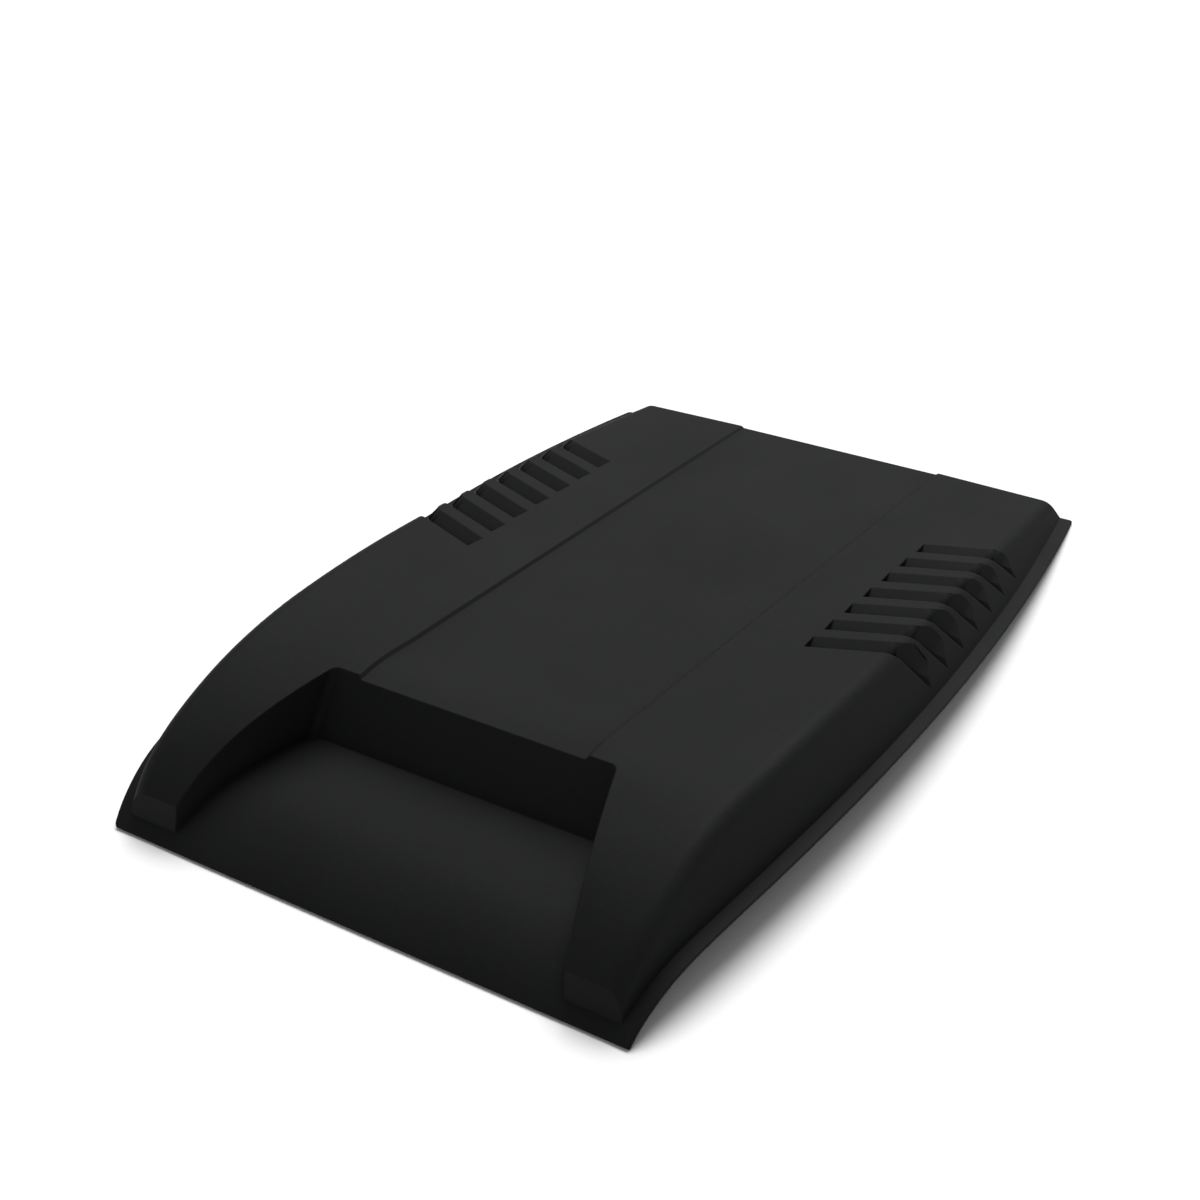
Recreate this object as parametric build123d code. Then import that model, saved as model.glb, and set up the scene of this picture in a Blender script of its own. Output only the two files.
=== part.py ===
"""Bonnet scoop: one thin moulded shell, open underneath, with a blind mouth and two rows of louvres.

X runs across the bonnet, Y from the front edge to the back edge, Z up from the floor that it rests on.
The right half is built and mirrored. Walls that meet overlap by part of their thickness, so no two of
their faces lie in one place.
"""
import os
from math import cos, radians, sin, sqrt, tan

from build123d import *

# Sizes in millimetres, angles in degrees.
length = 1006.0
front_half_width = 315.0
middle_half_width = 366.0
back_half_width = 322.0
corner_radius = 5.0
wall = 3.0
flange_width = 16.0
bend_radius = 22.0

# Top of the base sheet: distance back, height.
base_line = [(0, 3), (15, 16.5), (32, 27), (64, 40), (109, 47.5), (177, 50.5), (450, 46), (760, 27), (1006, 3)]
base_front_slope = 0.9
base_back_slope = -0.12

# Shoulders: distance back, half width and height of the outer ridge, height beside the panel.
shoulder_line = [
    (-20, 299, -2, -6),
    (13, 299, 34, 30),
    (40, 299, 63, 59),
    (80, 300, 87, 83),
    (125, 300.5, 103, 101),
    (175, 302, 114, 112),
    (225, 305, 118.5, 119),
    (300, 310, 117.5, 111),
    (425, 312, 108.5, 95.6),
    (560, 310.5, 92, 79),
    (780, 303.5, 61, 52),
    (1020, 290, 19, 22),
]
station_count = 21

# Recess in front of the mouth wall, and the feet beside it.
mouth_foot = 174.0
mouth_foot_half_width = 184.5
mouth_lean = 31.0
recess_front_half_width = 240.0
recess_draft = 3.0
recess_corner_radius = 9.0
foot_front = 13.5
foot_lean = 15.0

# Sunk panel of the roof.
panel_half_width = 139.0
panel_step = 4.0
panel_depth_front = 4.5
panel_depth_back = 2.5

# Louvres on each shoulder.
louvre_count = 7
louvre_first = 504.0
louvre_pitch = 45.5
louvre_start = 220.0
louvre_depth = 9.0
louvre_length = 28.0
louvre_crease = (0.35, 0.4)
louvre_sweep = 0.31
louvre_lean = 0.22
louvre_end_gap = 12.0
louvre_runout = 80.0

# How far the helper solids reach.
below = -60.0
above = 200.0
beyond = 420.0

os.makedirs("parts", exist_ok=True)


def read(table, y, column):
    """Smooth reading of a table at y: a cubic curve through its rows."""
    last = len(table) - 1
    i = max(k for k in range(last) if k == 0 or table[k][0] <= y)

    def rise(k):
        low, high = table[max(k - 1, 0)], table[min(k + 1, last)]
        return (high[column] - low[column]) / (high[0] - low[0])

    run = table[i + 1][0] - table[i][0]
    t = (y - table[i][0]) / run
    start, end = table[i][column], table[i + 1][column]
    bulge = (1 - t) * (rise(i) * run - end + start) - t * (rise(i + 1) * run - end + start)
    return start + t * (end - start) + t * (1 - t) * bulge


def slope(table, y, column):
    return (read(table, y + 1, column) - read(table, y - 1, column)) / 2


def edge_half_width(y):
    """Half width of the flange edge, a barrel in plan."""
    share = max(y, 0) / length
    straight = front_half_width + share * (back_half_width - front_half_width)
    swell = middle_half_width - (front_half_width + back_half_width) / 2
    return straight + 4 * swell * share * (1 - share)


def half_outline(y, inset):
    """Right half of one cross-section, from the middle of the panel out to the foot of the side wall."""
    ridge_x, ridge_z, inner_z = [read(shoulder_line, y, column) for column in (1, 2, 3)]
    root_x = edge_half_width(y) - flange_width
    root_z = read(base_line, max(y, 0), 1)
    lean = (root_x - ridge_x) / max(ridge_z - root_z, 10)
    sink = inset * sqrt(1 + slope(shoulder_line, y, 2) ** 2)
    top_x = ridge_x + sink * lean - inset * sqrt(1 + lean * lean)
    top_z = ridge_z - sink
    depth = panel_depth_front + (panel_depth_back - panel_depth_front) * y / length
    panel_z = inner_z - depth - sink
    panel = [(0, panel_z), (panel_half_width, panel_z), (panel_half_width + panel_step, inner_z - sink)]
    return panel + [(top_x, top_z), (top_x + (top_z - below) * lean, below)]


def through(outline_at, bends_at):
    """A smooth solid through outlines at even steps along the part, each with its bends rounded."""
    first, last = shoulder_line[0][0], shoulder_line[-1][0]
    faces = []
    for k in range(station_count):
        y = first + (last - first) * k / (station_count - 1)
        face = make_face(Polyline(*outline_at(y), close=True))
        for (x, z), radius in bends_at(y):
            corner = face.vertices().sort_by_distance((x, z, 0))[0]
            face = fillet(corner, radius)
        faces.append(Plane(origin=(0, y, 0), x_dir=(1, 0, 0), z_dir=(0, -1, 0)) * face)
    return loft(faces)


def hump(inset):
    """Everything under the shoulder and panel, drawn in by the inset."""
    return through(lambda y: half_outline(y, inset) + [(0, below)],
                   lambda y: [(half_outline(y, inset)[3], bend_radius - inset)])


def pulled(edges):
    """A closed outline in the side view pulled out from the middle plane."""
    return extrude(Plane.YZ * make_face(edges), amount=beyond)


def leaning(foot_y, foot_z, angle, grow):
    """Low and high end of a wall line in the side view, moved back by grow."""
    shift = foot_y + grow / cos(radians(angle))
    return [(shift + (z - foot_z) * tan(radians(angle)), z) for z in (below, above)]


def recess(grow):
    """Half of the space between the feet, up to the leaning mouth wall."""
    foot_z = read(base_line, mouth_foot, 1)
    flare = (recess_front_half_width - mouth_foot_half_width) / (mouth_foot - foot_front)
    front, back = below, mouth_foot + above
    narrow = mouth_foot_half_width - (foot_z - below) * tan(radians(recess_draft)) + grow
    front_x, back_x = [narrow + (mouth_foot - y) * flare for y in (front, back)]
    plan = Polyline((-front_x, front), (front_x, front), (back_x, back), (-back_x, back), close=True)
    sides = extrude(Pos(0, 0, below) * make_face(plan), amount=above - below, taper=-recess_draft)
    low, high = leaning(mouth_foot, foot_z, mouth_lean, grow)
    tub = sides & pulled(Polyline((front, below), low, high, (front, above), close=True))
    corner = tub.edges().filter_by(lambda e: e.center().X > recess_draft and e.center().Y > 0
                                   and e.length > above).sort_by(Axis.Y)[-1]
    return fillet(corner, recess_corner_radius + grow)


def behind_foot(grow):
    """Everything behind the front face of the foot."""
    low, high = leaning(foot_front, read(base_line, foot_front, 1), foot_lean, grow)
    return pulled(Polyline(low, (length + above, below), (length + above, above), high, close=True))


def base_points(sink):
    """The base line moved square to itself by the sink."""
    points = []
    for y, z in base_line:
        run = slope(base_line, y, 1)
        run = base_front_slope if y == base_line[0][0] else run
        run = base_back_slope if y == base_line[-1][0] else run
        share = sink / sqrt(1 + run * run)
        points.append((y + run * share, z - share))
    return points


def base_sheet():
    top, low = Spline(*base_points(0)), Spline(*base_points(wall))
    return pulled([top, low, Line(top @ 0, low @ 0), Line(top @ 1, low @ 1)])


def under_sheet(sink):
    """Everything under the base line moved down by the sink."""
    line = Spline(*base_points(sink))
    front, back = line @ 0, line @ 1
    box = Polyline(front, (below, front.Y), (below, 2 * below), (length - below, 2 * below),
                   (length - below, back.Y), back)
    return pulled([line, *box.edges()])


def plan_prism():
    """The flange's outline in plan."""
    edge = Spline(*[(edge_half_width(length * k / 4), length * k / 4) for k in range(5)])
    rim = Polyline(edge @ 0, (0, 0), (0, length), edge @ 1)
    face = make_face([edge, *rim.edges()])
    face = fillet(face.vertices().filter_by(lambda v: v.X > corner_radius), corner_radius)
    return extrude(Pos(0, 0, below) * face, amount=above - below)


def louvre(y, grow):
    """One groove: over the shoulder, round the bend and down the wall, deepest at its front."""
    ridge_x, ridge_z, inner_z = [read(shoulder_line, y, column) for column in (1, 2, 3)]
    inner_x = panel_half_width + panel_step
    start_z = inner_z + (ridge_z - inner_z) * (louvre_start - inner_x) / (ridge_x - inner_x)

    def swept(point_at):
        """The point of a line along the part where the louvre's plane crosses it."""
        at = y
        for _ in range(5):
            x, z = point_at(at)
            at = y + louvre_sweep * (x - louvre_start) - louvre_lean * (z - start_z)
        return Vector(x, at, z)

    start = Vector(louvre_start, y, start_z)
    ridge = swept(lambda at: (read(shoulder_line, at, 1), read(shoulder_line, at, 2)))
    foot = swept(lambda at: (edge_half_width(at) - flange_width, read(base_line, at, 1)))
    along, down = (ridge - start).normalized(), (foot - ridge).normalized()
    back = along.cross(down).normalized()
    out = down.cross(back) if down.cross(back).X > 0 else back.cross(down)
    stop = foot - down * louvre_end_gap
    turn = radians(louvre_runout)
    end = stop + (down * cos(turn) + out * sin(turn)) * (bend_radius + louvre_depth)
    start = start - along * grow
    path = FilletPolyline(start, ridge, stop, end, radius=bend_radius)
    side = Plane(origin=start, x_dir=back, z_dir=along)
    up = 1 if side.y_dir.Z > 0 else -1
    deep, far = louvre_depth + grow, louvre_length + grow / 2
    crease = (louvre_crease[0] * far, -up * (louvre_crease[1] * louvre_depth + grow))
    ramp = [(-grow, -up * deep), crease, (far, -up * grow)]
    rim = [(far, up * louvre_depth), (-grow, up * louvre_depth)]
    return sweep(side * make_face(Polyline(*ramp, *rim, close=True)), path=path)


def form(inset):
    """The scoop as a filled block, drawn in by the inset."""
    return (hump(inset) & behind_foot(inset)) - recess(inset)


# Walls end inside the thickness of the base sheet that they meet.
almost = 0.9 * wall
rows = [louvre_first + louvre_pitch * k for k in range(louvre_count)]
block = form(0) - [louvre(y, 0) for y in rows]
room = form(wall) - [louvre(y, wall) for y in rows]
plan = plan_prism()
walls = ((block - room) - under_sheet(almost)) & plan
sheet = (base_sheet() & plan) - form(almost)
half = walls + sheet
scoop = half + mirror(half, Plane.YZ)
scoop = Pos(0, -length / 2, -scoop.bounding_box().min.Z) * scoop
export_step(scoop, "parts/bonnet_scoop.step")
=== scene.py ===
# %% [markdown]
# # A bonnet scoop in matte black plastic
# The scoop is one thin shell formed from black sheet plastic. Its shape comes from the CAD solid, of which
# this lesson widens the louvres, and then it adds a finish, a floor, soft light and the photograph's camera.

# %% Load the frame
from math import radians

import bmesh
import bpy
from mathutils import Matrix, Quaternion, Vector
from mathutils.bvhtree import BVHTree


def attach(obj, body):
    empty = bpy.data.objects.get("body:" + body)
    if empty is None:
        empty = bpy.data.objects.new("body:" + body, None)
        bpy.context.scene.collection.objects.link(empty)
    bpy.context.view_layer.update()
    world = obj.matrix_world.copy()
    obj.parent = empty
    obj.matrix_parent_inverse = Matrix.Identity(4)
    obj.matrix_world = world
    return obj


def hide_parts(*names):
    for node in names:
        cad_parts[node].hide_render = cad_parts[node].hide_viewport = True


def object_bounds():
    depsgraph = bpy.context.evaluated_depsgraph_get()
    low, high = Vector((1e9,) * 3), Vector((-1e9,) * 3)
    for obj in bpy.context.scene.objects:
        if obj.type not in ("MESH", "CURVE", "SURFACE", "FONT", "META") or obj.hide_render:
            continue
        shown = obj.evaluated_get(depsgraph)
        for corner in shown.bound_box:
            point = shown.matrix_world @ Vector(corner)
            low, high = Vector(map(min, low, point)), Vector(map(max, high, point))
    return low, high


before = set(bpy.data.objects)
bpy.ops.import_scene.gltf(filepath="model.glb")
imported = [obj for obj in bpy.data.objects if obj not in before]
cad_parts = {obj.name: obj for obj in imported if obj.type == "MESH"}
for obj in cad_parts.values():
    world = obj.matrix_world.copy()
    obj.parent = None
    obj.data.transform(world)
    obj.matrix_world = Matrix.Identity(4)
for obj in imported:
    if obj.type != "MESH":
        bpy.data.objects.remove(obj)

cad_box = [list(corner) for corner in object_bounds()]
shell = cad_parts["bonnet_scoop"]
size = Vector(cad_box[1]) - Vector(cad_box[0])
print("scoop, metres:", [round(side, 3) for side in size], "triangles:", len(shell.data.polygons))

# %% [markdown]
# ## Camera
# The photograph was taken from the front right, a little above, and slightly tilted. The two halves of
# the scoop mirror each other, so pairs of matching corners give the place and the lens of the camera.
# It could be aimed with a constraint at an empty, but three angles say the same and stay readable.

# %% Camera
camera_place = Vector((1.026, -1.485, 1.271))
camera_turn = radians(35.6)
camera_drop = radians(33.27)
camera_roll = radians(-4.5)
camera_lens = 58.5
sensor_width = 36.0

camera_data = bpy.data.cameras.new("photo_camera")
camera_data.lens = camera_lens
camera_data.sensor_width = sensor_width
camera = bpy.data.objects.new("photo_camera", camera_data)
bpy.context.collection.objects.link(camera)
camera.rotation_mode = "QUATERNION"
level = Quaternion((1, 0, 0), radians(90) - camera_drop)
camera.rotation_quaternion = Quaternion((0, 0, 1), camera_turn) @ level @ Quaternion((0, 0, 1), camera_roll)
camera.location = camera_place
bpy.context.scene.camera = camera
print("camera", round(camera_place.length, 2), "m from the middle of the scoop")

# %% [markdown]
# ## A lid over each shoulder
# The photograph shows the louvres wider on the shoulder, and deeper, than the solid has them. The dressed
# shell is a copy of the solid in which only the louvres change. To tell how deep a point lies in its
# louvre, the smooth shoulder has to be found again. A convex hull of the shoulder's points spans the
# grooves like a lid. A plain second shoulder could be drawn instead, but the hull follows the solid by
# itself.

# %% Lid over a shoulder
wall = 0.003
flange_width = 0.016
flange_front, flange_swell, flange_taper = 0.315, 0.19, 0.007
root_margin = 0.001
lid_axis = 0.25


def wall_root(y):
    """Half width of the foot of the side wall, from the barrel of the flange edge."""
    share = y / size.y + 0.5
    return flange_front + flange_taper * share + flange_swell * share * (1 - share) - flange_width


def outward(side, point):
    """Direction square to the shoulder, near enough, seen along the part."""
    return Vector((point.x - side * lid_axis, 0, point.z)).normalized()


def shoulder_lid(points):
    """Convex skin over one shoulder and its side wall."""
    lid = bmesh.new()
    for point in points:
        if abs(point.x) < wall_root(point.y) + root_margin:
            lid.verts.new(point)
    bmesh.ops.convex_hull(lid, input=lid.verts)
    return BVHTree.FromBMesh(lid)


print("foot of the side wall, half width in the middle:", round(wall_root(0), 3))

# %% [markdown]
# ## Where a point lies in its louvre
# The louvres stand in a row along the shoulder. Each is swept back towards the side wall, and its plane
# leans a little. Taking the sweep and the lean off a point's place along the part leaves its distance
# behind the front edge of its louvre. The surface behind a louvre then gives way by sliding back, most
# just behind the groove and not at all at the next front edge, so that the pitch of the row stays.

# %% Rows of louvres
louvre_first, louvre_pitch, louvre_count = 0.001, 0.0455, 7
louvre_start = 0.22
louvre_sweep, louvre_lean = 0.31, 0.22
start_height, start_fall = 0.092, 0.135
edge_lead = 0.012
solid_width, wide_width = 0.0102, 0.027


def behind_edge(point):
    """Distance of a point behind the front edge of its louvre, or None away from the louvres."""
    swept = louvre_sweep * (abs(point.x) - louvre_start)
    top = start_height - start_fall * (point.y - louvre_first - swept)
    leaning = swept - louvre_lean * (point.z - top)
    run = point.y - leaning - louvre_first
    row = max(int(run // louvre_pitch), 0)
    return run - row * louvre_pitch if run > -edge_lead and row < louvre_count else None


def slide(run):
    """How far a surface point goes back, so that the groove grows from its solid to its wide width."""
    if run < solid_width / 2:
        return 0
    keep = (louvre_pitch - wide_width) / (louvre_pitch - solid_width)
    return max(wide_width + (run - solid_width) * keep - run, 0)


print("each of", louvre_count, "louvres grows from", solid_width, "to", wide_width, "m")

# %% [markdown]
# ## Wider and deeper louvres
# Points of the smooth surface slide back along the lid, which widens the groove, and points inside the
# groove go deeper. The back of the sheet moves with the front, a little further, so that the sheet keeps
# a thickness. Towards the foot of the wall the moves fade to nothing. Cutting with a boolean would do as
# well, but it would lose the exact shading of the large curved faces.

# %% New place of a point
inner_reach = 0.012
ray_lead = 0.001
slide_lead = 0.006
surface_band = 0.0015
fade_run = 0.016
ray_stretch = 1.05

# Of each face of the sheet: the fade's height over the wall's foot, how much deeper it goes, its own depth.
front_move = (0.018, 0.006, 0)
back_move = (0.010, 0.009, ray_stretch * wall)


def clamp(value):
    return min(max(value, 0), 1)


def new_place(point, normal, side, lid):
    """Where a point of the solid goes in the dressed shell, or None where it stays."""
    out = outward(side, point)
    reach = lid.ray_cast(point - out * ray_lead, out)[3]
    run = behind_edge(point)
    if reach is None or run is None or abs(point.x) < louvre_start - inner_reach:
        return None
    fade_start, push, face_depth = back_move if normal.dot(out) < 0 else front_move
    fade = clamp((wall_root(point.y) - abs(point.x) - fade_start) / fade_run)
    depth = reach - ray_lead
    if abs(depth - face_depth) < surface_band:
        moved = point + Vector((0, slide(run) * fade, 0))
        hit = lid.ray_cast(moved - out * slide_lead, out)[0]
        return None if hit is None else hit - out * depth
    return point - out * push * fade * clamp((depth - face_depth) / wall)


# %% Dressed shell
shoulder_inner = 0.15
louvre_zone = (-0.06, 0.38)
place_digits = 5


def place_key(point):
    """The same for all points that the mesh holds at one place, along its sharp edges."""
    return tuple(round(c, place_digits) for c in point)


def reshape(mesh, side):
    """Widens and deepens the louvres of one shoulder, on both faces of the sheet."""
    low, high = louvre_zone
    zone = [v for v in mesh.vertices if side * v.co.x > shoulder_inner and low < v.co.y < high]
    lid = shoulder_lid([v.co.copy() for v in zone])
    normals = {}
    for v in zone:
        key = place_key(v.co)
        normals[key] = normals.get(key, Vector()) + v.normal
    places = [new_place(v.co, normals[place_key(v.co)], side, lid) for v in zone]
    moves = [(v, place) for v, place in zip(zone, places) if place is not None]
    for v, place in moves:
        v.co = place
    return len(moves)


scoop = bpy.data.objects.new("dressed_scoop", shell.data.copy())
bpy.context.collection.objects.link(scoop)
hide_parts("bonnet_scoop")
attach(scoop, "root")
print("points moved:", [reshape(scoop.data, side) for side in (-1, 1)])

# %% [markdown]
# ## Helpers for shader nodes
# Materials here are small graphs. They could be wired node by node, but a few helpers keep each material
# a short list of steps: one adds a node and sets its inputs by name, and three more give the nodes that
# come up again and again, which are noise, a change of range and a mix of two colours.

# %% Node helpers
# Sockets of a Mix node that hold colours.
colour_a, colour_b, colour_out = 6, 7, 2


def add(tree, kind, values=None, **settings):
    """Adds a node, sets its properties and fills or links its inputs."""
    node = tree.nodes.new(kind)
    for name, value in settings.items():
        setattr(node, name, value)
    for name, value in (values or {}).items():
        if isinstance(value, bpy.types.NodeSocket):
            tree.links.new(value, node.inputs[name])
        else:
            node.inputs[name].default_value = value
    return node


def noise(tree, place, scale, detail, roughness=0.5):
    values = {"Vector": place, "Scale": scale, "Detail": detail, "Roughness": roughness}
    return add(tree, "ShaderNodeTexNoise", values).outputs["Fac"]


def spread(tree, value, before, after=(0, 1)):
    """Carries a value from one range to another."""
    values = {"Value": value, "From Min": before[0], "From Max": before[1],
              "To Min": after[0], "To Max": after[1]}
    return add(tree, "ShaderNodeMapRange", values).outputs["Result"]


def mix_colours(tree, factor, first, second):
    values = {"Factor": factor, colour_a: first, colour_b: second}
    return add(tree, "ShaderNodeMix", values, data_type="RGBA").outputs[colour_out]


def new_material(name):
    material = bpy.data.materials.new(name)
    material.use_nodes = True
    material.node_tree.nodes.clear()
    return material, material.node_tree


print("helpers:", [step.__name__ for step in (add, noise, spread, mix_colours, new_material)])

# %% [markdown]
# ## Colour of the black shell
# Formed black sheet is not one black. Its colour drifts where the sheet was stretched, a little dust lies on
# what looks up, and painted shade darkens hollows and grooves by occlusion. A photographed texture could
# carry this, but noise in object coordinates has no seams and follows every wall.

# %% Shell colour
black_low = (0.0072, 0.0075, 0.008, 1)
black_high = (0.0105, 0.0108, 0.0114, 1)
dust_colour = (0.045, 0.045, 0.044, 1)
speck_size, speck_detail, speck_roughness = 160.0, 6.0, 0.7
dust_range, dust_share = (0.55, 0.8), (0, 0.12)
# Painted shade: an occlusion node darkens hollows, grooves and corners towards this near-black colour.
painted_shade_colour = (0.002, 0.002, 0.0022, 1)
painted_shade_reach = 0.018
painted_shade_range = (0.35, 0.95)
painted_shade_samples = 8


def shell_colour(tree, place, drift):
    black = mix_colours(tree, drift, black_low, black_high)
    dust = spread(tree, noise(tree, place, speck_size, speck_detail, speck_roughness), dust_range, dust_share)
    facing = add(tree, "ShaderNodeSeparateXYZ", {0: add(tree, "ShaderNodeNewGeometry").outputs["Normal"]})
    lying = add(tree, "ShaderNodeMath", {0: dust, 1: facing.outputs["Z"]},
                operation="MULTIPLY", use_clamp=True)
    dusty = mix_colours(tree, lying.outputs[0], black, dust_colour)
    # Painted shade: the occlusion node darkens sheltered hollows and grooves, which is shade and not a colour
    # of the sheet.
    occlusion_for_painted_shade = add(tree, "ShaderNodeAmbientOcclusion", {"Distance": painted_shade_reach}, samples=painted_shade_samples)
    unshaded_share = spread(tree, occlusion_for_painted_shade.outputs["AO"], painted_shade_range)
    return mix_colours(tree, unshaded_share, painted_shade_colour, dusty)


print("black from", black_low[:3], "to", black_high[:3])

# %% [markdown]
# ## Grain and soft edges
# The sheet keeps a very fine grain from its mould, and plastic drawn over a mould has no sharp edge. The
# edges could be bevelled in the mesh, but its long thin triangles take that badly. A bevel node turns the
# normals round each edge by a little less than the wall's thickness, and fine noise adds the grain as bump.

# %% Shell relief
grain_size, grain_detail = 900.0, 2.0
grain_strength, grain_height = 0.12, 0.0004
edge_softness = 0.0025
edge_samples = 8


def shell_normal(tree, place):
    grain = noise(tree, place, grain_size, grain_detail)
    edges = add(tree, "ShaderNodeBevel", {"Radius": edge_softness}, samples=edge_samples)
    values = {"Height": grain, "Strength": grain_strength, "Distance": grain_height,
              "Normal": edges.outputs["Normal"]}
    return add(tree, "ShaderNodeBump", values).outputs["Normal"]


print("edges softened by", edge_softness, "m")

# %% [markdown]
# ## The black shell
# One broad noise moves both the colour and the gloss, as both come from how far the sheet was stretched.
# The plastic is matte, so its shine is weak and its roughness high, and the light models the shape.

# %% Shell finish
drift_size, drift_detail = 7.0, 4.0
drift_range, roughness_range = (0.3, 0.7), (0.56, 0.66)
shine = 0.06


def black_shell():
    material, tree = new_material("matte_black_shell")
    place = add(tree, "ShaderNodeTexCoord").outputs["Object"]
    drift = noise(tree, place, drift_size, drift_detail)
    plastic = add(tree, "ShaderNodeBsdfPrincipled", {
        "Base Color": shell_colour(tree, place, drift),
        "Roughness": spread(tree, drift, drift_range, roughness_range),
        "Normal": shell_normal(tree, place),
        "Specular IOR Level": shine,
    })
    add(tree, "ShaderNodeOutputMaterial", {"Surface": plastic.outputs["BSDF"]})
    return material


scoop.data.materials.clear()
scoop.data.materials.append(black_shell())
print("finish:", scoop.data.materials[0].name)

# %% [markdown]
# ## Floor
# The photograph has a plain white ground. A very wide sheet in white paper's colour takes the soft shadow
# of the scoop, and reaches so far that its edge stays out of the picture. A curved studio backdrop would
# do too, but from other sides it would stand in the way.

# %% Floor
floor_side = 14.0
floor_colour = (0.9, 0.9, 0.9, 1)
floor_corners = ((-1, -1), (1, -1), (1, 1), (-1, 1))

floor_mesh = bpy.data.meshes.new("floor")
half_side = floor_side / 2
floor_mesh.from_pydata([(x * half_side, y * half_side, 0) for x, y in floor_corners], [], [(0, 1, 2, 3)])
floor = bpy.data.objects.new("floor", floor_mesh)
bpy.context.collection.objects.link(floor)
floor_look, floor_tree = new_material("white_ground")
paper = add(floor_tree, "ShaderNodeBsdfDiffuse", {"Color": floor_colour})
add(floor_tree, "ShaderNodeOutputMaterial", {"Surface": paper.outputs["BSDF"]})
floor_mesh.materials.append(floor_look)
print("floor", floor_side, "m")

# %% [markdown]
# ## Light
# The light in the photograph comes from above and behind. A wide soft sun keeps the pale floor even out
# to its far edge and lays a faint shadow at the front, and a weak sky leaves the walls that look forward
# nearly black. A square lamp overhead would do too, but the floor then greys with distance.

# %% Soft sun
sun_place = Vector((-0.25, 0.95, 1.4))
sun_strength = 3.4
sun_spread = radians(45)

sun_data = bpy.data.lights.new("soft_sun", "SUN")
sun_data.energy = sun_strength
sun_data.angle = sun_spread
sun = bpy.data.objects.new("soft_sun", sun_data)
sun.location = sun_place
sun.rotation_mode = "QUATERNION"
sun.rotation_quaternion = (-sun_place).to_track_quat("-Z", "Y")
bpy.context.collection.objects.link(sun)

# %% White sky
sky_colour = (1, 1, 1, 1)
sky_strength = 0.36
seen_strength = 1.0

world = bpy.data.worlds.new("white_sky")
world.use_nodes = True
bpy.context.scene.world = world
sky = world.node_tree
sky.nodes.clear()
path = add(sky, "ShaderNodeLightPath")
seen = add(sky, "ShaderNodeMath", {0: path.outputs["Is Camera Ray"], 1: path.outputs["Is Transmission Ray"]},
           operation="MAXIMUM")
strength = spread(sky, seen.outputs[0], (0, 1), (sky_strength, seen_strength))
light = add(sky, "ShaderNodeBackground", {"Color": sky_colour, "Strength": strength})
add(sky, "ShaderNodeOutputWorld", {"Surface": light.outputs["Background"]})
bpy.context.scene.view_settings.view_transform = "Standard"
print("sky:", sky_strength, "on the scoop,", seen_strength, "for the camera")
